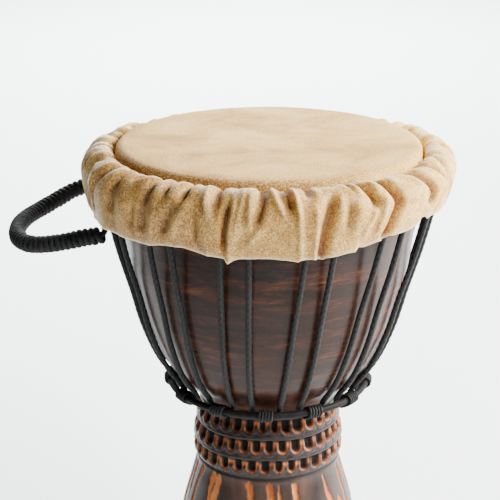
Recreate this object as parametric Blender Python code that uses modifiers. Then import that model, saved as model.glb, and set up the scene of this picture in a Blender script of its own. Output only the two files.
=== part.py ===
"""Rope-tuned djembe: carved goblet shell, goatskin head, three steel rings, lacing and a carrying handle.

The drum stands on its foot at z = 0. The origin is the centre of the bottom of its box, so the drum's
own axis stands a little to +X of it, because the handle reaches out to -X. Heights are worked out in
millimetres as t, from the playing surface (t = 0) down to the foot (t = -HEIGHT). An azimuth is
in degrees from the front (-Y), turning towards +X.
"""

import math

import bmesh
import bpy
import numpy as np
from mathutils import Matrix, Vector

MM = 0.001

# Driving dimensions, in millimetres and degrees.
HEIGHT = 500.0            # floor to playing surface
STEPS = 40                # sides of every turned piece
CLEAR = 0.3               # gap between pieces that touch
HEAD_EDGE = 125.2         # shell radius under the head
WAIST = 59.4              # shell radius at the neck under the bowl
FOOT = 90.0               # shell radius on the floor
SKIN = 1.0                # skin thickness
SKIN_SIDE = 126.6         # middle of the skin on the shell's side
CREASE = 128.5            # middle of the skin where it turns up again
SKIRT = 153.5             # middle of the skin at the collar's widest
ROD = 3.0                 # radius of the steel rod of each ring
FLESH_RING = (130.4, -38.0)
CROWN_RING = (137.5, -24.5)
BOTTOM_RING = (85.0, -210.0)
ROPE = 2.5                # radius of the lacing and of the handle's core
PAIRS = 13                # pairs of lacing strands round the drum
FIRST_PAIR = -10.0        # azimuth of one pair's middle, under the head
TWIST = -5.0              # how far a strand drifts round on its way down
HALF_TOP, HALF_BOTTOM = 4.5, 5.9    # half a pair's width, at its top and bottom
LASHING = 1.25            # half the thickness of the cord bound round the bottom ring
LASHING_WIDTH = 12.0
HANDLE_AZIMUTH = -93.7
HINGE = (132.5, -47.0)    # handle's axis: distance from the drum's axis, and height
WRAP_OUTER, WRAP_INNER = 7.5, 2.9   # radii of the cord wound round the handle
LASH_LOOP = (7.7, 1.15)   # loop and cord radii where the handle is tied to the lacing

# Shell outline, (radius, t), from the bearing edge down the outside to the foot.
SHELL_OUTSIDE = [
    (123.6, -3.6), (124.9, -7.5), (HEAD_EDGE, -18), (HEAD_EDGE, -32), (124, -60), (121.2, -82),
    (118.6, -100), (114.1, -120), (106, -150), (93.7, -180), (84.3, -195), (77.4, -203.5),
    (70.2, -210.5), (63.6, -216.5), (WAIST, -223), (60.0, -230), (61.7, -240), (64.3, -255),
    (65.1, -270), (64.6, -276), (63.5, -284), (67.5, -300), (75.6, -330), (80, -360), (82, -400),
    (84.5, -440), (FOOT - 2, -480), (FOOT, -497.5), (FOOT - 2, -HEIGHT),
]
SHELL_INSIDE = [
    (77, -HEIGHT), (74, -450), (66, -370), (50, -300), (37, -258), (33, -228), (42, -204),
    (66, -182), (91, -152), (105.5, -110), (111.5, -70), (112.5, -25), (116, -4.5), (119.5, -1.7),
    (121.6, -2.0),
]
# Middle of the skin, (radius, t): head, side, round the flesh ring, up again, and out as the collar.
SKIN_HEAD = [(0, -0.5), (60, -0.5), (117, -0.5), (121.5, -0.8), (124.6, -2.6), (126.1, -6.5)]
SKIN_COLLAR = [
    (CREASE, -17), (CREASE + 0.1, -11.5), (130.6, -6.6), (135.5, -4.2), (142, -5), (148, -8.8),
    (SKIRT - 1.5, -14.8), (SKIRT, -22), (152.8, -32), (151.2, -42), (148.6, -53),
]
# Lacing strand, (radius, t): from outside the crown ring down the bowl and in behind the bottom ring.
STRAND = [
    (143.9, -24.5), (139.3, -40), (133.3, -65), (122.8, -103), (117.7, -120), (109.5, -150),
    (97.6, -180), (88.4, -195), (82, -203), (78.6, -210),
]
# Angles round each rod, in the profile plane, that the lacing passes through as it turns over the rod.
CROWN_TURN = (40, 78, 100, 78, 40)
BOTTOM_TURN = (196, 211, 212, 211, 196)
TURN_SHARES = (0.06, 0.2, 0.5, 0.8, 0.94)    # how far round each of those points is
# Handle rope, (distance out, distance along the hinge, t), from one tied end to the other.
HANDLE_ROUTE = [
    (132.5, -40, -47), (132.5, -50, -47), (132.1, -56.5, -47.6), (129.8, -62, -51.3),
    (127.3, -66.5, -56.5), (127.4, -69.2, -61), (131, -70, -63.2), (142, -69.6, -65.2),
    (155, -69, -68.5), (169, -67, -72), (183, -62, -75), (194, -54, -77), (203, -42, -77.6),
    (210, -22, -78), (212.5, 0, -78), (210.5, 20, -77.8), (206, 33, -77), (198, 46, -74.5),
    (189, 57, -71), (180, 65, -67), (170, 69.4, -64), (157, 70.6, -62.4), (144, 70.4, -62),
    (131, 70, -61.8), (127.4, 69.2, -60.2), (127.3, 66.5, -56.3), (129.8, 62, -51.3),
    (132.1, 56.5, -47.6), (132.5, 50, -47), (132.5, 40, -47),
]
WRAP_FROM, WRAP_TO = 6, 23    # the route's points where the wound cord starts and ends

HANDLE_REACH = 219.9          # from the drum's axis to the handle's outer edge
AXIS_X = (HANDLE_REACH - (SKIRT + SKIN / 2)) / 2

COLOURS = {
    "shell": ((0.055, 0.027, 0.018, 1), 0.45, 0.0),
    "goat_skin": ((0.62, 0.45, 0.27, 1), 0.7, 0.0),
    "ring": ((0.05, 0.05, 0.05, 1), 0.5, 0.8),
    "rope": ((0.02, 0.02, 0.022, 1), 0.85, 0.0),
}


def clear_scene():
    for thing in list(bpy.data.objects):
        bpy.data.objects.remove(thing, do_unlink=True)


def collection(name):
    group = bpy.data.collections.new(name)
    bpy.context.scene.collection.children.link(group)
    return group


def material(name, kind):
    colour, roughness, metallic = COLOURS[kind]
    made = bpy.data.materials.new(name)
    made.use_nodes = True
    shader = made.node_tree.nodes["Principled BSDF"]
    shader.inputs["Base Color"].default_value = colour
    shader.inputs["Roughness"].default_value = roughness
    shader.inputs["Metallic"].default_value = metallic
    return made


def place(name, data, group, kind):
    """Links one named piece, with its own material, on the drum's axis."""
    piece = bpy.data.objects.new(name, data)
    piece.location = (AXIS_X * MM, 0, HEIGHT * MM)
    piece.data.materials.append(material(name, kind))
    group.objects.link(piece)
    return piece


def smooth(points, per_span):
    """A centripetal Catmull-Rom curve through the points, with per_span steps between two of them."""
    known = [np.array(p, dtype=float) for p in points]
    known = [2 * known[0] - known[1]] + known + [2 * known[-1] - known[-2]]
    curve = []
    for a, b, c, d in zip(known, known[1:], known[2:], known[3:]):
        ta = 0.0
        tb = ta + math.sqrt(np.linalg.norm(b - a))
        tc = tb + math.sqrt(np.linalg.norm(c - b))
        td = tc + math.sqrt(np.linalg.norm(d - c))
        for i in range(per_span):
            t = tb + (tc - tb) * i / per_span
            ab = a * (tb - t) / (tb - ta) + b * (t - ta) / (tb - ta)
            bc = b * (tc - t) / (tc - tb) + c * (t - tb) / (tc - tb)
            cd = c * (td - t) / (td - tc) + d * (t - tc) / (td - tc)
            abc = ab * (tc - t) / (tc - ta) + bc * (t - ta) / (tc - ta)
            bcd = bc * (td - t) / (td - tb) + cd * (t - tb) / (td - tb)
            curve.append(abc * (tc - t) / (tc - tb) + bcd * (t - tb) / (tc - tb))
    return curve + [known[-2]]


def arc(centre, radius, start, end, count):
    """Points on an arc in the profile plane, from start to end degrees."""
    angles = np.radians(np.linspace(start, end, count))
    return [(centre[0] + radius * math.cos(a), centre[1] + radius * math.sin(a)) for a in angles]


def turned(name, profile, closed, group, kind):
    """A piece turned about the drum's axis from a profile of (radius, t)."""
    mesh = bpy.data.meshes.new(name)
    count = len(profile)
    edges = [(i, i + 1) for i in range(count - 1)] + ([(count - 1, 0)] if closed else [])
    mesh.from_pydata([(r * MM, 0, t * MM) for r, t in profile], edges, [])
    piece = place(name, mesh, group, kind)
    screw = piece.modifiers.new("turn", "SCREW")
    screw.steps = screw.render_steps = STEPS
    screw.use_merge_vertices = True
    screw.merge_threshold = 0.00001
    screw.use_smooth_shade = True
    return piece


def offset(line, distance):
    """The line moved sideways, to its left for a positive distance; its ends stay square to it."""
    moved = []
    for i, point in enumerate(line):
        ahead = line[min(i + 1, len(line) - 1)]
        behind = line[max(i - 1, 0)]
        way = np.array(ahead) - np.array(behind)
        way = way / np.linalg.norm(way)
        moved.append((point[0] - way[1] * distance, point[1] + way[0] * distance))
    return moved


def ring(name, centre, group):
    """A steel hoop: a torus of the rod's radius at (radius, t)."""
    bm = bmesh.new()
    bmesh.ops.create_circle(bm, segments=6, radius=ROD * MM)
    section = [v.co.copy() for v in bm.verts]
    bm.free()
    profile = [(centre[0] + v.x / MM, centre[1] + v.y / MM) for v in reversed(section)]
    return turned(name, profile, True, group, "ring")


def tube(name, points, radius, closed, resolution, group, kind):
    """A round cord through the points, which are Vectors in millimetres from the head's centre."""
    curve = bpy.data.curves.new(name, "CURVE")
    curve.dimensions = "3D"
    curve.bevel_depth = radius * MM
    curve.bevel_resolution = resolution
    curve.use_fill_caps = not closed
    spline = curve.splines.new("POLY")
    spline.points.add(len(points) - 1)
    for target, point in zip(spline.points, points):
        target.co = (*(Vector(point) * MM), 1)
    spline.use_cyclic_u = closed
    return place(name, curve, group, kind)


def around(radius, azimuth, t):
    """The point at a radius, an azimuth and a height."""
    a = math.radians(azimuth)
    return Vector((radius * math.sin(a), -radius * math.cos(a), t))


def strand(pair, side):
    """One strand of a pair from the crown ring down to the bottom ring; side is -1 or +1."""
    top, bottom = STRAND[0][1], STRAND[-1][1]
    points = []
    for radius, t in STRAND:
        down = (top - t) / (top - bottom)
        middle = FIRST_PAIR + 360 / PAIRS * pair + TWIST * down
        half = HALF_TOP + (HALF_BOTTOM - HALF_TOP) * down
        points.append((radius, middle + side * half, t))
    return points


def rod_side(centre, angle):
    """The middle of a rope that lies against a ring's rod, at an angle round the rod."""
    reach = ROD + ROPE + 3 * CLEAR
    a = math.radians(angle)
    return centre[0] + reach * math.cos(a), centre[1] + reach * math.sin(a)


def bight(before, after, centre, angles):
    """The turn round a ring's rod from the end of one strand to the start of the next."""
    span = after[1] - before[1]
    sides = [rod_side(centre, angle) for angle in angles]
    return [(r, before[1] + span * share, t) for (r, t), share in zip(sides, TURN_SHARES)]


def lacing_points():
    """The whole lacing: up a strand, over the crown ring, down the next, and behind the bottom ring."""
    route = []
    first = PAIRS // 2 + 1
    for pair in range(first, first + PAIRS):
        rise, fall = strand(pair, -1)[::-1], strand(pair, 1)
        route += rise + bight(rise[-1], fall[0], CROWN_RING, CROWN_TURN) + fall
        following = strand(pair + 1, -1)[-1]
        route += bight(fall[-1], following, BOTTOM_RING, BOTTOM_TURN)
    start = strand(first - 1, 1)[-1]
    return [around(*p) for p in bight(start, route[0], BOTTOM_RING, BOTTOM_TURN)[3:] + route[:-3]]


def lashing(number, group):
    """The outer shape of the cord bound round the bottom ring and the lacing's turn behind it."""
    ring_at, rope_at = Vector(BOTTOM_RING), Vector(rod_side(BOTTOM_RING, BOTTOM_TURN[2]))
    lean = rope_at - ring_at
    turn = math.atan2(lean.y, lean.x)
    outline = []
    for centre, inside, start in ((rope_at, ROPE, turn - math.pi / 2), (ring_at, ROD, turn + math.pi / 2)):
        reach = inside + 3 * CLEAR + LASHING
        for i in range(6):
            a = start + math.pi * i / 5
            outline.append((centre.x + reach * math.cos(a), centre.y + reach * math.sin(a)))
    azimuth = FIRST_PAIR + TWIST + 360 / PAIRS * (number + 0.5)
    along = around(1, azimuth + 90, 0)
    bm = bmesh.new()
    ends = []
    for end in (-0.5, 0.5):
        shift = along * LASHING_WIDTH * end
        loops = []
        for grow in (-LASHING, LASHING):
            wide = offset([outline[-1]] + outline + [outline[0]], -grow)[1:-1]
            loops.append([bm.verts.new((around(r, azimuth, t) + shift) * MM) for r, t in wide])
        ends.append(loops)
    sleeve_faces(bm, ends)
    bmesh.ops.recalc_face_normals(bm, faces=bm.faces)
    name = f"ring_lashing_{number + 1:02d}"
    mesh = bpy.data.meshes.new(name)
    bm.to_mesh(mesh)
    bm.free()
    return place(name, mesh, group, "rope")


def sleeve_faces(bm, ends):
    """Joins the inner and outer loops of a sleeve's two ends."""
    (near_in, near_out), (far_in, far_out) = ends
    for one, other in ((near_in, near_out), (far_in, far_out), (near_in, far_in), (near_out, far_out)):
        for i in range(len(one)):
            j = (i + 1) % len(one)
            bm.faces.new((one[i], one[j], other[j], other[i]))


def handle_frame():
    """Unit vectors out from the drum to the handle's tip, and along its hinge."""
    return around(1, HANDLE_AZIMUTH, 0), around(1, HANDLE_AZIMUTH - 90, 0)


def handle_points(route):
    out, along = handle_frame()
    return [out * d + along * s + Vector((0, 0, t)) for d, s, t in route]


def handle_core(group):
    points = smooth(handle_points(HANDLE_ROUTE), 2)
    piece = tube("handle_core", points, ROPE, False, 2, group, "rope")
    return on_hinge(piece)


def handle_wrap(group):
    """The wound cord's outer shape: a sleeve along the core, between its two bare ends."""
    points = smooth(handle_points(HANDLE_ROUTE), 2)[WRAP_FROM * 2:WRAP_TO * 2 + 1]
    guide = tube("wrap_guide", points, WRAP_OUTER, True, 2, group, "rope")
    guide.data.splines[0].use_cyclic_u = False
    bpy.context.view_layer.update()
    evaluated = guide.evaluated_get(bpy.context.evaluated_depsgraph_get())
    mesh = bpy.data.meshes.new_from_object(evaluated)
    piece = bpy.data.objects.new("handle_wrap", mesh)
    piece.matrix_world = guide.matrix_world
    group.objects.link(piece)
    bpy.data.objects.remove(guide, do_unlink=True)
    mesh.materials.clear()
    mesh.materials.append(material("handle_wrap", "rope"))
    bm = bmesh.new()
    bm.from_mesh(mesh)
    bmesh.ops.remove_doubles(bm, verts=bm.verts, dist=0.01 * MM)
    bmesh.ops.recalc_face_normals(bm, faces=bm.faces)
    bm.to_mesh(mesh)
    bm.free()
    wall = piece.modifiers.new("wall", "SOLIDIFY")
    wall.thickness = (WRAP_OUTER - WRAP_INNER) * MM
    wall.offset = -1
    return on_hinge(piece)


def on_hinge(piece):
    """Moves a piece's origin to the middle of the handle's hinge, leaving its shape where it is."""
    shift = handle_points([(HINGE[0], 0, HINGE[1])])[0] * MM
    piece.data.transform(Matrix.Translation(-shift))
    piece.location = piece.location + shift
    return piece


def handle_lashing(name, pair, side, group):
    """A tied loop that holds one end of the handle's core against a strand of the lacing."""
    out, along = handle_frame()
    line = strand(pair, side)
    radius, azimuth = (float(np.interp(-HINGE[1], [-p[2] for p in line], [p[i] for p in line]))
                       for i in (0, 1))
    held = around(radius, azimuth, HINGE[1])
    core = out * HINGE[0] + along * held.dot(along) + Vector((0, 0, HINGE[1]))
    slant = (Vector((0, 0, 1)) - along * side).normalized()
    major, minor = LASH_LOOP
    bpy.ops.mesh.primitive_torus_add(
        major_radius=major * MM, minor_radius=minor * MM, major_segments=20, minor_segments=6)
    made = bpy.context.object
    mesh = made.data
    bpy.data.objects.remove(made, do_unlink=True)
    mesh.name = name
    piece = place(name, mesh, group, "rope")
    piece.location = piece.location + (held + core) / 2 * MM
    piece.rotation_euler = slant.to_track_quat("Z", "Y").to_euler()
    return piece


def shell(group):
    return turned("shell", SHELL_OUTSIDE + SHELL_INSIDE, True, group, "shell")


def goat_skin(group):
    """The head, its side, the fold round the flesh ring and the collar, all one skin."""
    fold = FLESH_RING[0] - SKIN_SIDE
    wrap = arc(FLESH_RING, fold, -180, 75, 9)
    middle = SKIN_HEAD + [(SKIN_SIDE, -13)] + wrap + [(129.2, -33.3), (CREASE, -30.5)] + SKIN_COLLAR
    outer = offset(middle, SKIN / 2)
    inner = offset(middle, -SKIN / 2)
    outer[0], inner[0] = (0, middle[0][1] + SKIN / 2), (0, middle[0][1] - SKIN / 2)
    return turned("goat_skin", outer + inner[::-1], False, group, "goat_skin")


def build():
    clear_scene()
    group = collection("djembe")
    shell(group)
    goat_skin(group)
    ring("flesh_ring", FLESH_RING, group)
    ring("crown_ring", CROWN_RING, group)
    ring("bottom_ring", BOTTOM_RING, group)
    tube("lacing_rope", lacing_points(), ROPE, False, 1, group, "rope")
    for number in range(PAIRS):
        lashing(number, group)
    handle_core(group)
    handle_wrap(group)
    handle_lashing("handle_lashing_near", -2, -1, group)
    handle_lashing("handle_lashing_far", -4, 1, group)


build()
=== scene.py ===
"""The looks of the rope-tuned djembe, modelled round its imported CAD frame."""

import math

import bmesh
import bpy
import numpy as np
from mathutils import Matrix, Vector


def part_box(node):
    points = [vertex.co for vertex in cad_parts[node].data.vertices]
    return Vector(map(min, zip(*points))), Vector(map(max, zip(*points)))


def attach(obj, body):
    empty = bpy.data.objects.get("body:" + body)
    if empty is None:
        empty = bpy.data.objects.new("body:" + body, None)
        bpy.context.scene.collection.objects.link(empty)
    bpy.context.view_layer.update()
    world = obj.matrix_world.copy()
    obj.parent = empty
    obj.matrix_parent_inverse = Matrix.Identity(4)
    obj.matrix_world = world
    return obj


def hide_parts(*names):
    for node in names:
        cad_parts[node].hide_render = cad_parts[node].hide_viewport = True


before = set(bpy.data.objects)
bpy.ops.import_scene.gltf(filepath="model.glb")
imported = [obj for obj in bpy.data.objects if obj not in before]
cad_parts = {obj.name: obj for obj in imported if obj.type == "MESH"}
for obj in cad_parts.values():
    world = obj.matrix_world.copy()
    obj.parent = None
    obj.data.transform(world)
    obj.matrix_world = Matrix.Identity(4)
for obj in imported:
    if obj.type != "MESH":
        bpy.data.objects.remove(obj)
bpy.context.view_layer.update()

MM = 0.001

# The drum's axis, from the frame's shell, and the height of its playing surface, in metres.
SHELL_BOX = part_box("shell")
AXIS_X = float(SHELL_BOX[0][0] + SHELL_BOX[1][0]) / 2
HEAD_Z = 0.5

# Camera of the reference view, in metres and degrees from the middle of the playing surface.
CAMERA_BACK, CAMERA_UP = 1.1408, 0.2944
CAMERA_PITCH, CAMERA_YAW = 18.89, 0.79
CAMERA_LENS, CAMERA_SENSOR = 102.5, 36

# The frame's sizes that the looks follow, in millimetres and degrees, as in the CAD. Sections are (radius, t),
# where t is the height over the playing surface. Azimuths start at the front and grow to the right.
ROD = 3.0                    # radius of the steel rod of each ring
ROPE = 2.5                   # radius of the lacing and of the handle's core
SKIN = 1.0                   # skin thickness
FLESH_RING = (130.4, -38.0)
CROWN_RING = (137.5, -24.5)
BOTTOM_RING = (85.0, -210.0)
PAIRS = 13                   # pairs of lacing strands round the drum
FIRST_PAIR, TWIST = -10.0, -5.0         # azimuth of one pair's middle, and how far it drifts on its way down
HALF_TOP, HALF_BOTTOM = 4.5, 5.9        # half the spread of a pair, at its ends
HANDLE_AZIMUTH = -93.7
STRAND = [
    (143.9, -24.5), (139.3, -40), (133.3, -65), (127.9, -86), (122.8, -103), (117.7, -120),
    (109.5, -150), (97.6, -180), (88.4, -195), (82, -203), (78.6, -210),
]
# The rope's turn round a ring: where on the rod's section it lies, and how far it has gone to the next strand.
CROWN_TURN = (40, 78, 100, 78, 40)
BOTTOM_TURN = (196, 211, 212, 211, 196)
TURN_SHARES = (0.06, 0.2, 0.5, 0.8, 0.94)
# The handle's core as (out from the drum's axis, along the hinge, t), and the points its whipping lies between.
HANDLE_ROUTE = [
    (132.5, -40, -47), (132.5, -50, -47), (132.1, -56.5, -47.6), (129.8, -62, -51.3),
    (127.3, -66.5, -56.5), (127.4, -69.2, -61), (131, -70, -63.2), (142, -69.6, -65.2),
    (155, -69, -68.5), (169, -67, -72), (183, -62, -75), (194, -54, -77), (203, -42, -77.6),
    (210, -22, -78), (212.5, 0, -78), (210.5, 20, -77.8), (206, 33, -77), (198, 46, -74.5),
    (189, 57, -71), (180, 65, -67), (170, 69.4, -64), (157, 70.6, -62.4), (144, 70.4, -62),
    (131, 70, -61.8), (127.4, 69.2, -60.2), (127.3, 66.5, -56.3), (129.8, 62, -51.3),
    (132.1, 56.5, -47.6), (132.5, 50, -47), (132.5, 40, -47),
]
WRAP_FROM, WRAP_TO = 5.1, 23
SHELL_OUTSIDE = [
    (121.6, -2.0), (123.6, -3.6), (124.9, -7.5), (125.2, -18), (125.2, -32), (124, -60),
    (121.2, -82), (118.6, -100), (114.1, -120), (106, -150), (93.7, -180), (84.3, -195),
    (77.4, -203.5), (70.2, -210.5), (63.6, -216.5), (59.4, -223), (60.0, -230), (61.7, -240),
    (64.3, -255), (65.1, -270), (64.6, -276), (63.5, -284), (67.5, -300), (75.6, -330), (80, -360),
    (82, -400), (84.5, -440), (88, -480), (90, -497.5), (88, -500),
]
SHELL_INSIDE = [
    (77, -500), (74, -450), (66, -370), (50, -300), (37, -258), (33, -228), (42, -204),
    (66, -182), (91, -152), (105.5, -110), (111.5, -70), (112.5, -25), (116, -4.5), (119.5, -1.7),
    (121.6, -2.0),
]
SKIN_HEAD = [(0, -0.5), (60, -0.5), (117, -0.5), (121.5, -0.8), (124.6, -2.6), (126.1, -6.5)]
SKIN_SIDE, CREASE = 126.6, 128.5
SKIN_COLLAR = [
    (CREASE, -17), (CREASE + 0.1, -11.5), (130.6, -6.6), (135.5, -4.2), (142, -5), (148, -8.8),
    (152, -14.8), (153.5, -22), (152.8, -32), (151.2, -42), (148.6, -53),
]


# ---- curves and meshes

def between(a, b, ta, tb, t):
    """The point at time t on the straight line from a at ta to b at tb."""
    return a * (tb - t) / (tb - ta) + b * (t - ta) / (tb - ta)


def smooth(points, per_span):
    """A centripetal Catmull-Rom curve through the points, with per_span steps between two of them."""
    known = [np.array(p, dtype=float) for p in points]
    known = [2 * known[0] - known[1]] + known + [2 * known[-1] - known[-2]]
    curve = []
    for a, b, c, d in zip(known, known[1:], known[2:], known[3:]):
        ta, tb = 0.0, math.sqrt(np.linalg.norm(b - a))
        tc = tb + math.sqrt(np.linalg.norm(c - b))
        td = tc + math.sqrt(np.linalg.norm(d - c))
        for i in range(per_span):
            t = tb + (tc - tb) * i / per_span
            bc = between(b, c, tb, tc, t)
            abc = between(between(a, b, ta, tb, t), bc, ta, tc, t)
            bcd = between(bc, between(c, d, tc, td, t), tb, td, t)
            curve.append(between(abc, bcd, tb, tc, t))
    return np.array(curve + [known[-2]])


def lengths(line):
    """The distance along a line at each of its points."""
    steps = np.linalg.norm(np.diff(line, axis=0), axis=1)
    return np.concatenate([[0], np.cumsum(steps)])


def resample(line, at):
    """The line's points at the given distances along it."""
    along = lengths(line)
    return np.stack([np.interp(at, along, line[:, i]) for i in range(line.shape[1])], axis=1)


def around(radius, azimuth, t):
    """The point at a radius, an azimuth and a height, in metres in the frame."""
    a = math.radians(azimuth)
    return np.array([AXIS_X + radius * MM * math.sin(a), -radius * MM * math.cos(a), HEAD_Z + t * MM])


def smoothstep(low, high, x):
    """0 at low, 1 at high and an even rise between them."""
    u = np.clip((x - low) / (high - low), 0, 1)
    return u * u * (3 - 2 * u)


def ring_points(radius, t, angle):
    """Grids of radii and heights in mm and of angles in radians, as points in metres in the frame."""
    return np.stack([AXIS_X + radius * MM * np.sin(angle), -radius * MM * np.cos(angle),
                     HEAD_Z + t * MM + 0 * angle], -1)


def waves(x, y, seed, octaves=3, base=1.0):
    """Smooth noise on a plane that repeats in x every 2 pi; it runs from about -1 to 1."""
    rng = np.random.default_rng(seed)
    total = np.zeros(np.broadcast(x, y).shape)
    reach = 0.0
    for octave in range(octaves):
        scale = base * 2 ** octave
        strength = 0.6 ** octave
        for _ in range(5):
            n = max(1, int(round(scale * rng.uniform(0.6, 1.6))))
            m = scale * rng.uniform(-1.2, 1.2)
            total = total + strength * np.sin(n * x + m * y + rng.uniform(0, 2 * math.pi))
        reach += strength
    return total / (reach * 2.2)


def lattice(x, y, period, seed):
    """Smooth noise from -1 to 1 on a unit lattice that repeats in x after a whole period."""
    rng = np.random.default_rng(seed)
    knots = rng.uniform(-1, 1, (period, 64))
    left, low = np.floor(x).astype(int), np.floor(y).astype(int)
    u, v = x - left, y - low
    u, v = u * u * (3 - 2 * u), v * v * (3 - 2 * v)
    one = knots[left % period, low % 64] * (1 - u) + knots[(left + 1) % period, low % 64] * u
    two = knots[left % period, (low + 1) % 64] * (1 - u) + knots[(left + 1) % period, (low + 1) % 64] * u
    return one * (1 - v) + two * v


def link(thing):
    """Puts a new object into the scene."""
    bpy.context.scene.collection.objects.link(thing)
    return thing


def grid_object(name, points, closed_along=False, flip=False, values=None):
    """A mesh on a grid of points (rows, columns, 3), closed round its columns, and along its rows or not."""
    rows, columns = points.shape[:2]
    left = np.arange(rows * columns).reshape(rows, columns)
    right = np.roll(left, -1, axis=1)
    if closed_along:
        above_l, above_r, below_l, below_r = left, right, np.roll(left, -1, axis=0), np.roll(right, -1, axis=0)
    else:
        above_l, above_r, below_l, below_r = left[:-1], right[:-1], left[1:], right[1:]
    order = (above_l, below_l, below_r, above_r) if flip else (above_l, above_r, below_r, below_l)
    quads = np.stack(order, axis=-1).reshape(-1, 4)
    mesh = bpy.data.meshes.new(name)
    mesh.vertices.add(rows * columns)
    mesh.vertices.foreach_set("co", points.astype(np.float32).ravel())
    mesh.loops.add(quads.size)
    mesh.loops.foreach_set("vertex_index", quads.astype(np.int32).ravel())
    mesh.polygons.add(len(quads))
    mesh.polygons.foreach_set("loop_start", np.arange(0, quads.size, 4, dtype=np.int32))
    mesh.update(calc_edges=True)
    mesh.polygons.foreach_set("use_smooth", np.ones(len(quads), dtype=bool))
    for key, value in (values or {}).items():
        layer = mesh.attributes.new(key, "FLOAT", "POINT")
        value = np.broadcast_to(value, (rows, columns)).astype(np.float32)
        layer.data.foreach_set("value", value.ravel())
    mesh.validate()
    return link(bpy.data.objects.new(name, mesh))


def dress(thing, node, body, slot, *materials):
    """Gives a piece its materials, the CAD node it replaces and the body it rides on; its slot is not used."""
    for material in materials:
        thing.data.materials.append(material)
    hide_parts(node)
    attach(thing, body)


def cap_ends(thing, rows, columns):
    """Closes a tube's two open ends with a fan each."""
    bm = bmesh.new()
    bm.from_mesh(thing.data)
    bm.verts.ensure_lookup_table()
    rims = [[bm.verts[start + i] for i in range(columns)] for start in (0, (rows - 1) * columns)]
    for rim, reverse in zip(rims, (False, True)):
        middle = bm.verts.new(sum((v.co for v in rim), Vector()) / columns)
        for i in range(columns):
            pair = (rim[i], rim[(i + 1) % columns])
            face = bm.faces.new((middle, *(pair[::-1] if reverse else pair)))
            face.smooth = True
    bmesh.ops.recalc_face_normals(bm, faces=bm.faces)
    bm.to_mesh(thing.data)
    bm.free()


def frames_along(path):
    """Two unit vectors square to the path at each point, carried along it without twisting."""
    ahead = np.roll(path, -1, axis=0) - np.roll(path, 1, axis=0)
    ahead[0], ahead[-1] = path[1] - path[0], path[-1] - path[-2]
    ahead /= np.linalg.norm(ahead, axis=1, keepdims=True)
    side = np.cross(ahead[0], [0.31, 0.2, 0.93])
    side /= np.linalg.norm(side)
    sides = []
    for way in ahead:
        side = side - way * side.dot(way)
        side = side / np.linalg.norm(side)
        sides.append(side)
    sides = np.array(sides)
    return sides, np.cross(ahead, sides)


ROPE_BRAID, CORD_BRAID = (3, 0.0062), (2, 0.0034)      # strands each way, and their pitch in metres


def braided(name, path, radius, spacing, sides, braid, relief, taper=0.0):
    """A braided rope swept along the path: crossing strands stand proud by relief times the radius."""
    strands, pitch = braid
    total = lengths(path)[-1]
    rows = max(8, int(total / spacing))
    at = np.linspace(0, total, rows)
    line = resample(path, at)
    one, two = frames_along(line)
    angle = np.linspace(0, 2 * math.pi, sides, endpoint=False)[None, :]
    phase = 2 * math.pi * at[:, None] / pitch
    rise = np.maximum(np.cos(strands * angle + phase), np.cos(strands * angle - phase))
    girth = radius * (1 - relief + relief * rise)
    if taper:
        edge = np.minimum(at, total - at)[:, None]
        girth = girth * np.sqrt(np.clip(1 - (1 - np.clip(edge / taper, 0, 1)) ** 2, 0.02, 1))
    points = line[:, None, :] + girth[..., None] * (
        np.cos(angle)[..., None] * one[:, None, :] + np.sin(angle)[..., None] * two[:, None, :])
    # The strands' rise is kept for the rope material's painted highlight and shade.
    thing = grid_object(name, points, flip=True, values={"rise": 0.5 + 0.5 * rise})
    cap_ends(thing, rows, sides)
    return thing


# ---- materials

MIX_A, MIX_B, MIX_RESULT = 6, 7, 2      # the colour sockets of a Mix node


def new_material(name):
    """A new material, its node tree and its Principled shader."""
    made = bpy.data.materials.new(name)
    made.use_nodes = True
    return made, made.node_tree, made.node_tree.nodes["Principled BSDF"]


def settings(node, values):
    """Sets a node's sockets by their names."""
    for key, value in values.items():
        node.inputs[key].default_value = value


def attribute(tree, name):
    """A value stored at the mesh's points."""
    node = tree.nodes.new("ShaderNodeAttribute")
    node.attribute_name = name
    return node.outputs["Fac"]


def noise(tree, scale, detail=4.0, roughness=0.55, stretch=(1, 1, 1), distortion=0.0):
    """Noise in the object's own coordinates, stretched along its axes."""
    where = tree.nodes.new("ShaderNodeTexCoord")
    mapping = tree.nodes.new("ShaderNodeMapping")
    settings(mapping, {"Scale": stretch})
    texture = tree.nodes.new("ShaderNodeTexNoise")
    settings(texture, {"Scale": scale, "Detail": detail, "Roughness": roughness, "Distortion": distortion})
    tree.links.new(where.outputs["Object"], mapping.inputs["Vector"])
    tree.links.new(mapping.outputs["Vector"], texture.inputs["Vector"])
    return texture.outputs["Fac"]


def ramp(tree, factor, stops):
    """A colour ramp with (position, colour) stops."""
    node = tree.nodes.new("ShaderNodeValToRGB")
    while len(node.color_ramp.elements) < len(stops):
        node.color_ramp.elements.new(0.5)
    for element, (position, colour) in zip(node.color_ramp.elements, stops):
        element.position = position
        element.color = (*colour, 1)
    tree.links.new(factor, node.inputs["Fac"])
    return node.outputs["Color"]


def feed(tree, socket, value):
    """Links a socket to another's output, or sets it to a colour or a number."""
    if hasattr(value, "links"):
        tree.links.new(value, socket)
    else:
        socket.default_value = (*value, 1) if isinstance(value, tuple) else value


def mix(tree, factor, one, two, blend="MIX"):
    """A blend of two colours."""
    node = tree.nodes.new("ShaderNodeMix")
    node.data_type = "RGBA"
    node.blend_type = blend
    feed(tree, node.inputs["Factor"], factor)
    feed(tree, node.inputs[MIX_A], one)
    feed(tree, node.inputs[MIX_B], two)
    return node.outputs[MIX_RESULT]


def maths(tree, kind, *values):
    """One step of arithmetic on up to three values."""
    node = tree.nodes.new("ShaderNodeMath")
    node.operation = kind
    for socket, value in zip(node.inputs, values):
        feed(tree, socket, value)
    return node.outputs[0]


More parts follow.
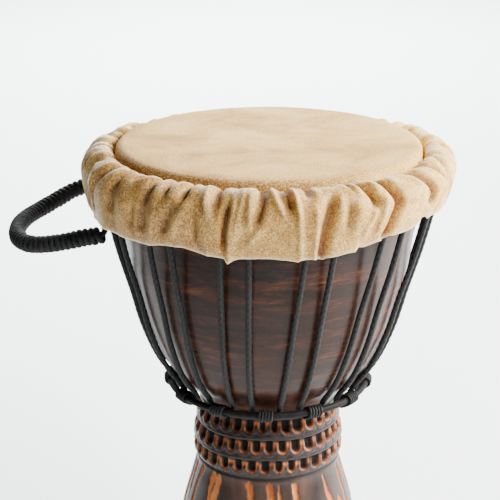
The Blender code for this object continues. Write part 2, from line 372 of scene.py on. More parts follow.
def span(tree, value, low, high, out_low=0.0, out_high=1.0):
    """Maps a value from one range to another, clamped."""
    node = tree.nodes.new("ShaderNodeMapRange")
    settings(node, {"From Min": low, "From Max": high, "To Min": out_low, "To Max": out_high})
    tree.links.new(value, node.inputs["Value"])
    return node.outputs["Result"]


def bump(tree, shader, height, strength, distance):
    """Lets a height tilt the shader's normal."""
    node = tree.nodes.new("ShaderNodeBump")
    settings(node, {"Strength": strength, "Distance": distance})
    tree.links.new(height, node.inputs["Height"])
    tree.links.new(node.outputs["Normal"], shader.inputs["Normal"])


def wood_material():
    """Dark stained hardwood with its grain running round the bowl, and raw wood in the cuts."""
    made, tree, shader = new_material("carved_wood")
    streaks = noise(tree, 15, 9, 0.7, (1, 1, 8), 0.5)
    fine = noise(tree, 130, 6, 0.68, (1, 1, 3.5))
    patches = noise(tree, 9, 3, 0.5, (1, 1, 1.6))
    grain = maths(tree, "MULTIPLY_ADD", fine, 0.35, streaks)
    stain = ramp(tree, grain, [
        (0.48, (0.0035, 0.0014, 0.0009)), (0.64, (0.012, 0.0042, 0.0022)),
        (0.78, (0.050, 0.0145, 0.0055)), (0.92, (0.15, 0.042, 0.012))])
    glow = span(tree, patches, 0.35, 0.72, 0.0, 0.75)
    stain = mix(tree, glow, stain, (0.028, 0.0085, 0.0036), "LIGHTEN")
    worn = span(tree, fine, 0.3, 0.75)
    worn = mix(tree, worn, (0.010, 0.0075, 0.007), (0.048, 0.036, 0.033))
    stain = mix(tree, attribute(tree, "carved"), stain, worn)
    upright = noise(tree, 26, 6, 0.6, (1, 1, 0.16), 0.3)
    foot = ramp(tree, upright, [
        (0.36, (0.016, 0.011, 0.0095)), (0.52, (0.048, 0.029, 0.023)), (0.72, (0.11, 0.056, 0.036))])
    stain = mix(tree, attribute(tree, "stem"), stain, foot)
    stain = mix(tree, attribute(tree, "pit"), stain, (0.006, 0.0055, 0.005))
    raw = ramp(tree, noise(tree, 55, 5, 0.6, (1, 1, 0.35), 0.3), [
        (0.30, (0.17, 0.040, 0.009)), (0.5, (0.40, 0.105, 0.024)), (0.72, (0.58, 0.20, 0.055))])
    colour = mix(tree, attribute(tree, "raw"), stain, raw)
    inside = ramp(tree, noise(tree, 30, 5, 0.6, (1, 1, 0.2)), [
        (0.3, (0.16, 0.085, 0.045)), (0.7, (0.30, 0.18, 0.10))])
    colour = mix(tree, attribute(tree, "inside"), colour, inside)
    tree.links.new(colour, shader.inputs["Base Color"])
    dull = maths(tree, "MAXIMUM", attribute(tree, "raw"), attribute(tree, "inside"))
    dull = maths(tree, "MAXIMUM", dull, attribute(tree, "pit"))
    gloss = span(tree, fine, 0.3, 0.7, 0.26, 0.40)
    rough = tree.nodes.new("ShaderNodeMix")
    tree.links.new(dull, rough.inputs["Factor"])
    tree.links.new(gloss, rough.inputs["A"])
    settings(rough, {"B": 0.8})
    tree.links.new(rough.outputs["Result"], shader.inputs["Roughness"])
    settings(shader, {"Specular IOR Level": 0.17})
    bump(tree, shader, grain, 0.28, 0.0006)
    return made


def rawhide(name, scale, stops, gloss, rough):
    """Scraped goatskin, coloured by cloudy patches, painted shade in its folds, painted highlights on its
    crests, and the short hairs left on it, whose mark also paints shade on the collar's front left.
    """
    made, tree, shader = new_material(name)
    patches = noise(tree, scale, 6, 0.62, (1, 1, 1), 0.55)
    cloudy = noise(tree, 75, 5, 0.62, (1, 1, 1), 0.5)
    pores = noise(tree, 700, 4, 0.75)
    colour = ramp(tree, patches, stops)
    # Painted shade: the folds' valleys are darkened to a deeper orange-brown.
    colour = mix(tree, attribute(tree, "fold"), colour, (0.36, 0.17, 0.045), "MULTIPLY")
    # Painted highlight: the crests of the folds are lightened towards pale gold.
    crest_highlight = maths(tree, "MULTIPLY", attribute(tree, "crest_highlight"), 0.6)
    colour = mix(tree, crest_highlight, colour, (0.96, 0.76, 0.38))
    # Darker, browner tone where hairs are left; on the collar its weight grows towards the front left, so it
    # also paints shade there.
    hair_tone_and_shade = maths(tree, "MULTIPLY", attribute(tree, "hair_and_left_shade"), 0.9)
    colour = mix(tree, hair_tone_and_shade, colour, (0.64, 0.52, 0.38), "MULTIPLY")
    glint = span(tree, pores, 0.52, 0.60, 0.0, 0.18)
    glint = maths(tree, "MULTIPLY", attribute(tree, "hair_and_left_shade"), glint)
    colour = mix(tree, glint, colour, (0.90, 0.76, 0.54))
    speck = span(tree, pores, 0.42, 0.51, 0.50, 0.0)
    hair_and_left_shade = maths(tree, "MULTIPLY", attribute(tree, "hair_and_left_shade"), speck)
    colour = mix(tree, hair_and_left_shade, colour, (0.15, 0.11, 0.06))
    faint = span(tree, pores, 0.40, 0.60, 0.62, 1.22)
    colour = mix(tree, 1.0, colour, faint, "MULTIPLY")
    hem = maths(tree, "MULTIPLY", attribute(tree, "hem"), 0.7)
    colour = mix(tree, hem, colour, (0.86, 0.68, 0.44))
    tree.links.new(colour, shader.inputs["Base Color"])
    tree.links.new(span(tree, pores, 0.36, 0.64, *rough), shader.inputs["Roughness"])
    settings(shader, {"Specular IOR Level": gloss, "Subsurface Weight": 0.10,
                      "Subsurface Radius": (0.003, 0.0013, 0.0005), "Subsurface Scale": 1.0})
    bump(tree, shader, maths(tree, "MULTIPLY_ADD", pores, 1.1, cloudy), 0.6, 0.0010)
    return made


def skin_materials():
    """The head's cream skin, then the collar's golden tan."""
    head = rawhide("rawhide_head", 17, [
        (0.34, (0.48, 0.262, 0.068)), (0.49, (0.64, 0.385, 0.115)), (0.64, (0.76, 0.50, 0.18)),
    ], 0.03, (0.5, 0.65))
    collar = rawhide("rawhide_collar", 75, [
        (0.32, (0.47, 0.24, 0.041)), (0.50, (0.70, 0.40, 0.080)), (0.68, (0.85, 0.56, 0.15)),
    ], 0.30, (0.26, 0.58))
    return head, collar


def rope_material(name, low, high, tooth):
    """Black braided synthetic rope, greyer where its strands stand proud: painted highlight on them and painted
    shade in the hollows between.
    """
    made, tree, shader = new_material(name)
    fibres = noise(tree, tooth, 4, 0.7)
    # Painted highlight and shade: raised strands lighter, hollows between them darker.
    strands = mix(tree, attribute(tree, "rise"), low, high)
    gap = span(tree, fibres, 0.35, 0.7, 0.0, 0.6)
    colour = mix(tree, gap, strands, (0.002, 0.002, 0.002))
    tree.links.new(colour, shader.inputs["Base Color"])
    settings(shader, {"Roughness": 0.7, "Specular IOR Level": 0.2})
    bump(tree, shader, fibres, 0.5, 0.0003)
    return made


def steel_material():
    """Black painted rod, a little worn."""
    made, tree, shader = new_material("ring_steel")
    wear = noise(tree, 120, 5, 0.65)
    colour = ramp(tree, wear, [(0.4, (0.003, 0.003, 0.003)), (0.75, (0.014, 0.012, 0.011))])
    tree.links.new(colour, shader.inputs["Base Color"])
    tree.links.new(span(tree, wear, 0.3, 0.7, 0.55, 0.75), shader.inputs["Roughness"])
    settings(shader, {"Specular IOR Level": 0.12})
    bump(tree, shader, wear, 0.2, 0.0003)
    return made


def plain_material(name, colour, roughness):
    """One even colour."""
    made, _, shader = new_material(name)
    settings(shader, {"Base Color": (*colour, 1), "Roughness": roughness})
    return made


# ---- the shell

SHELL_COLUMNS = 480
BOWL_ROWS, BAND_ROWS, STEM_ROWS, FOOT_ROWS = 40, 74, 62, 8
BAND_TOP, BAND_BOTTOM = -224.0, -277.0
BAND_LIP = -280.5            # the groove that ends the band
NOTCH_ROWS = 3
NOTCHES = 34                 # in each row, round the waist
GOUGES = 34
STEM_PLAIN = 460             # below this depth the stem has no cuts


def notch_band(angle, t, radius):
    """The waist's three rows of gouged notches: (rise in mm, raw wood, dark pit) at each point."""
    pitch = (BAND_TOP - BAND_BOTTOM) / NOTCH_ROWS
    down = (BAND_TOP - t) / pitch + 0.09 * waves(angle, 0 * t, 5, 2, 2)
    row = np.clip(np.floor(down), 0, NOTCH_ROWS - 1)
    v = down - row
    width = 2 * math.pi / NOTCHES
    shift = 0.37 * row + 0.16 * waves(angle, row * 2.0, 9, 2, 3)
    x = (angle / width + shift) % 1.0 - 0.5
    across = x * width * radius
    half = 3.7 + 0.5 * waves(angle, row * 3.1, 21, 1, 6)
    straight = 0.60              # how far down its row a notch is straight, before its round end
    drop = np.maximum(v - straight, 0) * pitch
    away = np.sqrt(across ** 2 + drop ** 2) - half
    cut = smoothstep(0.5, -1.6, away) * smoothstep(0.20, 0.29, v)
    ridge = np.exp(-((v - 0.10) / 0.10) ** 2) + np.exp(-((v - 1.08) / 0.12) ** 2)
    scallop = np.exp(-((away - 2.0) / 1.5) ** 2) * smoothstep(0.45, 0.7, v)
    tooth = smoothstep(0.4, 1.4, away) * np.exp(-((v - 0.36) / 0.13) ** 2)
    groove = np.exp(-((v - 0.23) / 0.06) ** 2)
    rise = 1.1 * ridge + 0.8 * scallop - 3.4 * cut - 0.9 * tooth - 0.7 * groove
    broken = 0.62 + 0.55 * lattice(angle / (2 * math.pi) * 210, t / 2.1 + 40, 210, 51)
    lip = np.exp(-((away - 0.40) / 0.60) ** 2) * smoothstep(0.30, 0.36, v)
    top = np.exp(-((v - 0.38) / 0.085) ** 2) * smoothstep(-0.1, 0.5, away)
    raw = np.clip((1.05 * lip + 1.2 * top) * broken, 0, 1)
    pit = np.maximum(cut * smoothstep(0.3, -0.7, away), 0.75 * np.exp(-((v - 0.22) / 0.055) ** 2))
    inside = smoothstep(BAND_TOP + 1.5, BAND_TOP - 1.5, t)
    inside = inside * smoothstep(BAND_BOTTOM - 1, BAND_BOTTOM + 1.5, t)
    return rise * inside, raw * inside, pit * inside


def gouges(angle, t, radius):
    """The stem's long irregular gouges that show raw wood: (rise in mm, raw wood) at each point."""
    rng = np.random.default_rng(77)
    best = np.full(np.broadcast(angle, t).shape, -9.0)
    for i in range(GOUGES):
        home = 2 * math.pi * (i + rng.uniform(-0.3, 0.3)) / GOUGES
        start = -279.5 - rng.uniform(0, 3) - (rng.uniform(8, 50) if rng.random() < 0.15 else 0)
        end = -rng.uniform(395, 455) if rng.random() < 0.7 else -rng.uniform(318, 380)
        lean = rng.uniform(-0.0013, 0.0013)
        wander = waves(home + 0 * angle, t / 22.0, 100 + i, 2, 1.0)
        middle = home + lean * (t + 290) + 0.080 * wander
        delta = (angle - middle + math.pi) % (2 * math.pi) - math.pi
        half = 2.9 + 1.8 * waves(home * 3 + 0 * angle, t / 11.0, 200 + i, 2, 1.0) + rng.uniform(-1.1, 0.8)
        half = half * smoothstep(end - 2, end + 45, t) - 6 * smoothstep(start - 6, start + 1, t)
        best = np.maximum(best, half - np.abs(delta) * radius)
    ragged = 0.8 * waves(angle, t / 2.1, 31, 3, 26)
    depth = smoothstep(-0.5, 1.6, best + ragged)
    return -1.15 * depth, smoothstep(0.0, 0.9, best + ragged)


def shell_rows():
    """The shell's outside line as (radius, t), with its rows closest where it is carved."""
    outside = smooth(SHELL_OUTSIDE, 24)
    along = lengths(outside)
    band, stem, foot = np.interp([-BAND_TOP - 3, -BAND_BOTTOM + 8, STEM_PLAIN], -outside[:, 1], along)
    return resample(outside, np.concatenate([
        np.linspace(0, band, BOWL_ROWS, endpoint=False), np.linspace(band, stem, BAND_ROWS, endpoint=False),
        np.linspace(stem, foot, STEM_ROWS, endpoint=False), np.linspace(foot, along[-1], FOOT_ROWS)]))


def make_shell(material):
    """The carved shell, outside and inside in one closed grid."""
    line = shell_rows()
    angle = np.linspace(0, 2 * math.pi, SHELL_COLUMNS, endpoint=False)[None, :]
    radius, t = line[:, :1], line[:, 1:]
    band_rise, band_raw, pit = notch_band(angle, t, radius)
    gouge_rise, gouge_raw = gouges(angle, t, radius)
    lip = np.exp(-((t - BAND_LIP) / 1.4) ** 2)
    # The hand's unevenness on the bowl and on the stem, left out at the two rims.
    hand = 0.35 * waves(angle, t / 30.0, 3, 3, 2) * smoothstep(-225, -200, t)
    hand = hand + 0.25 * waves(angle, t / 40.0, 4, 3, 3) * smoothstep(-290, -300, t)
    rise = band_rise + gouge_rise - 1.3 * lip + (hand - 0.45) * (t < -5) * (t > -496)
    inner = smooth(SHELL_INSIDE, 2)[1:-1]
    inner_radius, inner_t = inner[:, :1], inner[:, 1:]
    tool = 0.5 * waves(angle, inner_t / 9.0, 6, 3, 9) * (inner_t < -10) * (inner_t > -495)
    points = np.concatenate([ring_points(radius + rise, t, angle),
                             ring_points(inner_radius + tool, inner_t, angle)])
    outer_values = {
        "raw": np.maximum(band_raw, gouge_raw),
        "pit": np.maximum(pit, 0.75 * lip),
        "carved": smoothstep(-221, -226, t),
        "stem": smoothstep(-279, -284, t),
        "inside": 0.0,
    }
    values = {key: np.concatenate([np.broadcast_to(value, rise.shape), np.full(tool.shape, key == "inside")])
              for key, value in outer_values.items()}
    thing = grid_object("shell_carved", points, closed_along=True, values=values)
    dress(thing, "shell", "drum", "carved_wood", material)


# ---- the skin

HEAD_COLUMNS = 250
FINER = 4                    # columns of the collar to one of the head
COLLAR_COLUMNS = FINER * HEAD_COLUMNS
COLLAR_ROWS = 42


def skin_line():
    """The skin's middle lines as (radius, t): the head with its tuck round the flesh ring, and the collar."""
    fold = FLESH_RING[0] - SKIN_SIDE
    turn = np.radians(np.linspace(-180, 75, 9))
    wrap = [(FLESH_RING[0] + fold * math.cos(a), FLESH_RING[1] + fold * math.sin(a)) for a in turn]
    hidden = smooth(SKIN_HEAD[2:] + [(SKIN_SIDE, -13)], 3).tolist()
    head = [(r, -0.5) for r in (9, 24, 42, 60, 80, 98, 110)]
    head = head + hidden + wrap + [(129.2, -33.3), (CREASE, -30.5), (CREASE, -22)]
    collar = smooth(SKIN_COLLAR, 12)
    collar = resample(collar, np.linspace(0, lengths(collar)[-1], COLLAR_ROWS))
    return np.array(head), collar


# The folds that face the front: (rise in mm, half width in mm), then (azimuth, share of the way down).
FOLDS = [
    ((-6.0, 4.4), (-57.5, 0.06), (-60, 0.25), (-61, 0.42), (-63.5, 0.62), (-65, 0.85)),
    ((3.0, 3.2), (-55, 0.08), (-57.5, 0.25), (-58.7, 0.38)),
    ((-4.5, 2.8), (-51, 0.05), (-54.5, 0.18), (-57.5, 0.33), (-59.5, 0.47)),
    ((2.6, 8.0), (-52, 0.18), (-55, 0.4), (-57, 0.65), (-57, 0.95)),
    ((-3.4, 5.0), (-47.5, 0.1), (-50, 0.3), (-51.5, 0.5), (-52.5, 0.78)),
    ((2.2, 3.6), (-46.5, 0.2), (-48, 0.35), (-47.5, 0.5)),
    ((-3.4, 4.2), (-41.5, 0.1), (-43.5, 0.25), (-45.5, 0.38)),
    ((2.8, 1.9), (-38.3, 0.1), (-41, 0.25), (-44.7, 0.43)),
    ((2.6, 3.0), (-45.5, 0.5), (-47.3, 0.75), (-48.5, 1.0)),
    ((-2.1, 3.2), (-42, 0.52), (-43.3, 0.75), (-44, 0.9)),
    ((-3.2, 4.6), (-36, 0.15), (-37.5, 0.4), (-38.8, 0.65), (-39.5, 0.88)),
    ((2.2, 2.8), (-33.6, 0.55), (-34.8, 0.75), (-36, 1.0)),
    ((3.6, 3.6), (-31.5, 0.05), (-33.2, 0.25), (-34, 0.42), (-34.5, 0.5)),
    ((-4.2, 3.2), (-29.8, 0.04), (-31, 0.2), (-31.5, 0.35), (-32, 0.45)),
    ((3.6, 3.8), (-26, 0.06), (-28, 0.25), (-28.5, 0.42), (-29, 0.52)),
    ((-4.6, 2.6), (-23, 0.06), (-24.3, 0.2), (-25, 0.38), (-25.2, 0.5)),
    ((-2.6, 3.3), (-27.6, 0.48), (-30.2, 0.7), (-32, 0.88)),
    ((3.0, 2.6), (-22.8, 0.42), (-25.6, 0.62), (-28.6, 0.9)),
    ((-2.2, 3.4), (-21, 0.5), (-20.6, 0.72), (-21.4, 0.88)),
    ((2.4, 2.6), (-17.4, 0.7), (-16.8, 0.85), (-17, 1.0)),
    ((2.0, 2.8), (-21, 0.08), (-22.5, 0.25), (-23, 0.4)),
    ((4.0, 1.9), (-17, 0.03), (-18.2, 0.2), (-18, 0.4), (-16.8, 0.52), (-15, 0.62), (-13.5, 0.66)),
    ((-3.8, 3.4), (-14, 0.05), (-14.7, 0.25), (-14.5, 0.45), (-14.8, 0.54)),
    ((-5.0, 2.8), (-11, 0.38), (-11.2, 0.55), (-11.8, 0.75), (-12.4, 0.92)),
    ((2.8, 2.0), (-9.3, 0.35), (-9.6, 0.55), (-10.2, 0.75), (-11, 1.0)),
    ((2.4, 2.1), (-6.6, 0.2), (-7.2, 0.4), (-8.3, 0.62), (-9.5, 0.85)),
    ((3.6, 2.6), (-4.3, 0.03), (-4.9, 0.2), (-5, 0.45), (-5, 0.7)),
    ((-5.2, 3.6), (-2.2, 0.05), (-1.4, 0.25), (-1.2, 0.42), (-2.6, 0.58), (-4, 0.68)),
    ((2.6, 2.3), (0.2, 0.35), (-1.2, 0.55), (-3.4, 0.72), (-6.5, 0.88)),
    ((4.0, 1.8), (2.6, 0.02), (1.3, 0.18), (1.7, 0.33), (3, 0.45), (4.8, 0.58)),
    ((-2.8, 2.4), (3.4, 0.12), (3.8, 0.3), (4.6, 0.42)),
    ((-4.0, 2.6), (5.8, 0.04), (5.6, 0.3), (6.2, 0.55)),
    ((4.4, 1.7), (8.7, 0.02), (7.4, 0.2), (7.8, 0.38), (8.8, 0.6), (9.4, 1.0)),
    ((-4.2, 3.6), (11, 0.05), (12, 0.2), (11.8, 0.4)),
    ((2.6, 2.2), (13.6, 0.45), (13.4, 0.7), (13.2, 1.0)),
    ((-6.5, 4.0), (19.2, 0.36), (17.8, 0.5), (16.4, 0.68), (15.4, 0.95)),
    ((3.2, 2.2), (20.5, 0.06), (23, 0.18), (24.6, 0.32)),
    ((-4.0, 2.4), (22.3, 0.03), (24.3, 0.15), (25.8, 0.3)),
    ((-3.2, 4.0), (24.5, 0.42), (23.6, 0.55), (22.5, 0.8)),
    ((2.8, 2.2), (25.2, 0.08), (26.6, 0.25), (27.7, 0.42)),
    ((-5.4, 3.2), (26.5, 0.05), (28.8, 0.2), (30.8, 0.36), (31.6, 0.46), (30.4, 0.57)),
    ((2.8, 2.0), (31.5, 0.52), (29, 0.72), (26, 0.9)),
    ((2.6, 2.6), (31, 0.1), (32.8, 0.25), (34.2, 0.4)),
    ((3.0, 2.0), (35.6, 0.42), (33.5, 0.65), (31.4, 0.9)),
    ((-6.5, 4.0), (34.2, 0.03), (36.8, 0.15), (38.4, 0.35), (39.6, 0.55), (37.4, 0.75), (35.2, 0.95)),
    ((-3.4, 3.4), (42, 0.03), (44.5, 0.1), (46.5, 0.16)),
    ((-6.5, 3.8), (46.5, 0.03), (51, 0.2), (54.6, 0.42), (56, 0.62), (55, 0.85)),
    ((-3.4, 3.2), (52.5, 0.03), (57, 0.15), (60, 0.27)),
    ((-5.5, 3.6), (58.5, 0.03), (63, 0.25), (66, 0.45), (67, 0.6)),
]
DEGREE, COLLAR_WIDTH = 2.6, 62.0        # a degree along the collar, and the collar from top to hem, in mm

# How far the collar's surface may sink and rise, as (share of the way down, mm): all round, and by side.
DEEPEST = [(0, -0.2), (0.1, -2.2), (0.2, -5.4), (0.32, -8.0), (0.45, -7.4), (0.6, -6.4), (0.8, -7.5), (1, -8.0)]
HIGHEST_BACK = [(0, 0.3), (0.1, 2.2), (0.2, 3.2), (0.5, 1.6), (0.7, 1.2), (1, 1.8)]
HIGHEST_FRONT = [(0, 0.3), (0.1, 1.0), (0.2, 2.2), (0.35, 4.4), (0.7, 4.0), (1, 3.8)]

# How far the collar's hem lies above its usual line, as (azimuth in degrees, mm).
HEM = [
    (-180, 5), (-120, 4), (-95, 1), (-75, 1), (-65, 1.3), (-60, 0.7), (-55, 2.4), (-45, 2.1), (-40, 1.2),
    (-37, 1.4), (-34, 3.2), (-30, 4.7), (-25, 5.5), (-20, 3.2), (-17, 1.7), (-14, 0.9), (-12, 0.5),
    (-11.2, -3.6), (-10, -0.9), (-8, 0.8), (0, 1.2), (5, 0), (8.6, -1.2), (9.4, 0.2), (13, 0.3), (15, -1.5),
    (16, -2.7), (17, -0.7), (20, 0.7), (23, 2.5), (25, 2.6), (26, 6.2), (28, 5.4), (30, 6.4), (32.5, 7.8),
    (34.6, 6.1), (36, 7.8), (37, 9.6), (45, 9.7), (48, 10.4), (50, 12), (52, 16.5), (54, 15.7), (55, 13.3),
    (57, 14.3), (61, 14), (90, 12), (130, 8), (180, 5),
]


def table(at, pairs):
    """A value between the points of a table of (place, value)."""
    return np.interp(at, *np.array(pairs, dtype=float).T)


def azimuth_of(angle):
    """Degrees from -180 to 180 for an angle in radians."""
    return np.degrees((angle + math.pi) % (2 * math.pi) - math.pi)


def front_share(azimuth):
    """1 where the listed folds and hem shape the collar, 0 at the back."""
    return smoothstep(-71, -62, azimuth) * smoothstep(72, 64, azimuth)


def front_folds(azimuth, s):
    """The listed folds: (height in mm, weight of the painted shade in their valleys, weight of the painted
    highlight on their crests) at each point.
    """
    x, y = azimuth * DEGREE + 0 * s, s * COLLAR_WIDTH + 0 * azimuth
    height, depth, crest_highlight = np.zeros(x.shape), np.zeros(x.shape), np.zeros(x.shape)
    for (rise, width), *route in FOLDS:
        line = smooth([(a * DEGREE, v * COLLAR_WIDTH) for a, v in route], 4)
        along = lengths(line)
        near, where = np.full(x.shape, 1e6), np.zeros(x.shape)
        for (px, py), (qx, qy), begin, end in zip(line, line[1:], along, along[1:]):
            u = ((x - px) * (qx - px) + (y - py) * (qy - py)) / (end - begin) ** 2
            u = np.clip(u, 0, 1)
            away = np.hypot(x - px - u * (qx - px), y - py - u * (qy - py))
            where = np.where(away < near, begin + u * (end - begin), where)
            near = np.minimum(near, away)
        ends = np.ones(x.shape)
        if route[0][1] > 0.07:
            ends = ends * smoothstep(-2, 7, where)
        if route[-1][1] < 0.93:
            ends = ends * smoothstep(-2, 8, along[-1] - where)
        shape = ends * np.exp(-(near / width) ** (2.0 if rise < 0 else 1.5))
        height = height + rise * shape
        # Valleys weight the painted shade, ridges the painted highlight along their crests.
        if rise < 0:
            depth = np.maximum(depth, -rise / 5.2 * shape ** 1.3)
        else:
            crest_highlight = np.maximum(crest_highlight, rise / 4 * shape ** 5)
    return height, depth, crest_highlight


def gathers(angle, s):
    """The collar's gathers: (height in mm, weight of the painted shade in the folds, sideways push in mm,
    weight of the painted highlight on the crests).
    """
    turn = angle / (2 * math.pi) % 1.0
    slant = lattice(turn * 9, 0 * s + 3.5, 9, 1) + 0.6 * lattice(turn * 23, 0 * s + 1.5, 23, 2)
    wobble = lattice(turn * 26, s * 2.6, 26, 3)
    lean = (0.026 * slant * s + 0.0075 * wobble) * smoothstep(0.0, 0.5, s)
    uneven = 0.0035 * lattice(turn * 31, 0 * s + 0.5, 31, 4)
    at = (turn + lean + uneven) % 1.0

    big = lattice(at * 86, s * 1.25 + 7, 86, 5)
    mid = lattice(at * 150, s * 1.9 + 11, 150, 6)
    thin = lattice(at * 190, s * 3.1 + 5, 190, 7)
    valleys = 1.0 - np.minimum(np.abs(big) * 1.6, 1) ** 0.7
    creases = 1.0 - np.minimum(np.abs(mid) * 1.6, 1) ** 0.7
    crests = np.exp(-(np.abs(lattice(at * 90, s * 1.5 + 21, 90, 8)) / 0.15) ** 1.3)

    shoulder = smoothstep(0.02, 0.22, s)
    skirt = smoothstep(0.45, 1.0, s)
    strong = 0.75 + 0.25 * lattice(turn * 13, s * 1.7, 13, 9)
    height = (-7.5 * valleys * (1 - 0.45 * skirt) - 4.0 * creases * (1 - 0.6 * skirt)
              + 3.4 * crests * (1 - 0.55 * skirt) + 0.9 * thin) * strong * shoulder
    azimuth = azimuth_of(angle)
    front = front_share(azimuth)
    height = height * (1 - 0.8 * front)
    broad = 2.6 * lattice(turn * 23, s * 1.1 + 2, 23, 10) + 3.2 * lattice(at * 52, s * 1.6 + 9, 52, 11)
    height = height + broad * smoothstep(0.15, 0.7, s) + 2.2 * shoulder
    scallops = np.abs(np.sin(math.pi * at * 88)) ** 0.8
    near = smoothstep(0.06, 0.13, s) * smoothstep(0.36, 0.2, s)
    height = height + 2.4 * (scallops - 0.5) * near
    height = height + 0.28 * lattice(turn * 240, s * 14, 240, 12) * shoulder
    # Painted shade: valleys and creases are weighted for darkening, less down the skirt.
    shade = smoothstep(0.45, 0.95, valleys) * 0.9 + smoothstep(0.5, 1.0, creases) * 0.5
    shade = shade * (1 - 0.8 * skirt) * shoulder
    push = height * 0.95 * np.tanh(3 * lattice(turn * 11, s * 0.8 + 3, 11, 13)) * shoulder

    listed, depth, crest_highlight = front_folds(azimuth, s)
    listed = 1.35 * listed * smoothstep(-0.05, 0.4, s) + 0.3 * shoulder
    height = height * (1 - 0.55 * front) + listed * front
    push = push * (1 - 0.6 * front)
    # At the front the listed folds take over the painted shade and the painted highlight on the crests.
    shade = np.maximum(shade * (1 - 0.9 * front), depth * front)
    crests = np.maximum(crests * shoulder * (1 - skirt) * (1 - 0.8 * front), crest_highlight * front)
    return height, np.clip(shade, 0, 1), push, crests


def collar_points(collar, angle, s):
    """The gathered collar's points, and the weights of the painted shade in the folds and of the painted
    highlight on the crests at each one.
    """
    way = np.gradient(collar, axis=0)
    way /= np.linalg.norm(way, axis=1, keepdims=True)
    outward = np.stack([-way[:, 1], way[:, 0]], -1)
    height, shade, push, crests = gathers(angle, s)
    azimuth = azimuth_of(angle)
    front = front_share(azimuth)
    deepest = table(s, DEEPEST)
    highest = table(s, HIGHEST_BACK) * (1 - front) + table(s, HIGHEST_FRONT) * front
    rise = np.where(height > 0, highest * np.tanh(height / highest), deepest * np.tanh(height / deepest))
    tail = smoothstep(0.55, 1.0, s)
    turn = angle / (2 * math.pi)
    loose = 1.6 * lattice(turn * 19, 0 * s + 0.5, 19, 40) + 2.4 * lattice(turn * 39, 0 * s + 2.5, 39, 41)
    drop = tail * (loose + 0.9 * height) * (1 - 0.8 * front)
    drop = drop + smoothstep(0.35, 1.0, s) * table(azimuth, HEM)
    back = smoothstep(105, 140, np.abs(azimuth)) * smoothstep(0.0, 0.15, s) * smoothstep(0.8, 0.3, s)
    drop = drop - 3.0 * back
    radius = collar[:, :1] + outward[:, :1] * rise
    t = collar[:, 1:] + outward[:, 1:] * rise + drop
    return ring_points(radius, t, angle + push / radius), shade, crests


def make_skin(head_material, collar_material):
    """The head and the collar as one mesh: a coarse grid, a seam of wider faces and a fine grid."""
    head, collar = skin_line()
    coarse = np.linspace(0, 2 * math.pi, HEAD_COLUMNS, endpoint=False)[None, :]
    angle = np.linspace(0, 2 * math.pi, COLLAR_COLUMNS, endpoint=False)[None, :]
    s = np.linspace(0, 1, COLLAR_ROWS)[:, None]
    upper = ring_points(head[:, :1], head[:, 1:], coarse)
    lower, shade, crests = collar_points(collar, angle, s)

    bm = bmesh.new()
    layers = {key: bm.verts.layers.float.new(key) for key in ("fold", "hair_and_left_shade", "hem", "crest_highlight")}
    # Hair is left at the front left, along the head's edge and on the collar; on the collar its weight also
    # paints shade down the front left side.
    edge = smoothstep(108, 123, head[:, :1]) * (0.5 + 0.5 * np.cos(coarse + math.radians(24))) ** 3
    collar_hair_and_shade = 0.85 * (0.5 + 0.5 * np.cos(angle + math.radians(38))) ** 2 * np.ones(shade.shape)
    none = np.zeros(edge.shape)
    # The marks carry painted shade in the folds, painted highlight on the crests, the hairs with their painted
    # shade at the collar's front left, and the hem.
    marks = {
        "fold": (none, shade),
        "hair_and_left_shade": (edge, collar_hair_and_shade),
        "hem": (none, smoothstep(0.965, 1.0, s) * np.ones(shade.shape)),
        "crest_highlight": (none, crests),
    }
    grids = []
    for part, points in enumerate((upper, lower)):
        rows, columns = points.shape[:2]
        verts = [bm.verts.new(p) for p in points.reshape(-1, 3)]
        for key, values in marks.items():
            for vert, value in zip(verts, np.ravel(values[part])):
                vert[layers[key]] = float(value)
        grids.append([verts[i * columns:(i + 1) * columns] for i in range(rows)])
    for part, grid in enumerate(grids):
        for above, below in zip(grid, grid[1:]):
            for i in range(len(above)):
                j = (i + 1) % len(above)
                bm.faces.new((above[i], below[i], below[j], above[j])).material_index = part
    middle = bm.verts.new((AXIS_X, 0, HEAD_Z - 0.5 * MM))
    for i in range(HEAD_COLUMNS):
        bm.faces.new((middle, grids[0][0][i], grids[0][0][(i + 1) % HEAD_COLUMNS]))
    above, below = grids[0][-1], grids[1][0]
    for i in range(HEAD_COLUMNS):
        j = (i + 1) % HEAD_COLUMNS
        run = [below[(FINER * i + k) % COLLAR_COLUMNS] for k in range(FINER + 1)]
        bm.faces.new((above[i], *run, above[j])).material_index = 1
    for face in bm.faces:
        face.smooth = True
    mesh = bpy.data.meshes.new("goatskin_head_and_collar")
    bm.to_mesh(mesh)
    bm.free()
    thing = link(bpy.data.objects.new("goatskin_head_and_collar", mesh))
    wall = thing.modifiers.new("thickness", "SOLIDIFY")
    wall.thickness = SKIN * MM
    wall.offset = 0
    dress(thing, "goat_skin", "drum", "rawhide", head_material, collar_material)


# ---- rings, lacing and bindings

def make_ring(name, node, centre, material):
    """A rod bent to a hoop, with the weld where its ends meet."""
    turns = np.linspace(0, 2 * math.pi, 240, endpoint=False)[:, None]
    round_rod = np.linspace(0, 2 * math.pi, 16, endpoint=False)[None, :]
    weld = 1 + 0.12 * np.exp(-((turns - math.pi * 1.03) / 0.012) ** 2)
    reach = (ROD - 0.15) * weld
    radius = centre[0] + reach * np.cos(round_rod)
    t = centre[1] + reach * np.sin(round_rod)
    thing = grid_object(name, ring_points(radius, t, turns), closed_along=True, flip=True)
    dress(thing, node, "drum", "ring_steel", material)


